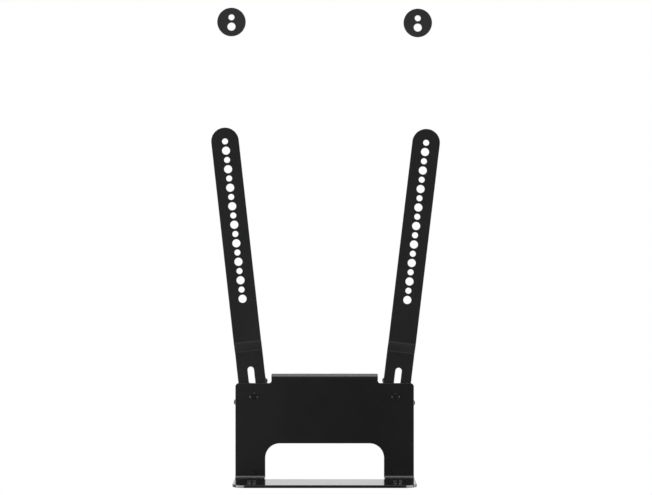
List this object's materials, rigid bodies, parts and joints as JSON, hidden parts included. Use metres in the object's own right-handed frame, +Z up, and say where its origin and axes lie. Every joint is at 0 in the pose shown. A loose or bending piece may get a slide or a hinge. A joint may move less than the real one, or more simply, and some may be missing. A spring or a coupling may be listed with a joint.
{
  "type": "soundbar bracket",
  "caption": "Folded black steel shelf with a windowed back for a small soundbar, hung from cranked, drilled and slotted arms that star knobs clamp, with loose spacer discs.",
  "frame": {"origin": "middle of the shelf's clear flat top between its front edge and the window, where the soundbar stands", "axes": "+X to the viewer's right, +Y from the shelf's front edge to the upright, towards the back of the screen, +Z up along the upright"},
  "size_m": [0.2456, 0.1146, 0.5088],
  "materials": {
    "holder_coat": "satin black powder coat",
    "arm_coat": "satin black powder coat",
    "stud_coat": "black zinc",
    "washer_zinc": "bright zinc",
    "knob_plastic": "fine moulded grain",
    "insert_brass": "turned",
    "screw_black": "black oxide",
    "disc_coat": "satin black"
  },
  "bodies": {
    "holder": {"holder_plate": "holder_coat", "stud_left": "stud_coat", "stud_right": "stud_coat", "shelf_screw_left": "screw_black", "shelf_screw_right": "screw_black", "spacer_disc_left": "disc_coat", "spacer_disc_right": "disc_coat"},
    "washer_left": {"washer_left": "washer_zinc"},
    "arm_left": {"arm_left": "arm_coat"},
    "knob_left": {"knob_left": "knob_plastic", "knob_insert_left": "insert_brass"},
    "washer_right": {"washer_right": "washer_zinc"},
    "arm_right": {"arm_right": "arm_coat"},
    "knob_right": {"knob_right": "knob_plastic", "knob_insert_right": "insert_brass"}
  },
  "joints": [
    {"name": "arm_swing_left", "type": "hinge", "parent": "holder", "child": "washer_left", "pos_m": [-0.0763, 0.05545, 0.086], "axis": [0, 1, 0], "range_deg": [-9.62, 14.38]},
    {"name": "arm_slide_left", "type": "slide", "parent": "washer_left", "child": "arm_left", "axis": [-0.111, 0, 0.9938], "range_m": [-0.029, 0.029]},
    {"name": "knob_turn_left", "type": "hinge", "parent": "holder", "child": "knob_left", "pos_m": [-0.0763, 0.05545, 0.086], "axis": [0, 1, 0], "continuous": true},
    {"name": "arm_swing_right", "type": "hinge", "parent": "holder", "child": "washer_right", "pos_m": [0.0763, 0.05545, 0.086], "axis": [0, 1, 0], "range_deg": [-14.83, 9.17]},
    {"name": "arm_slide_right", "type": "slide", "parent": "washer_right", "child": "arm_right", "axis": [0.1189, 0, 0.9929], "range_m": [-0.0278, 0.0302]},
    {"name": "knob_turn_right", "type": "hinge", "parent": "holder", "child": "knob_right", "pos_m": [0.0763, 0.05545, 0.086], "axis": [0, 1, 0], "continuous": true}
  ]
}
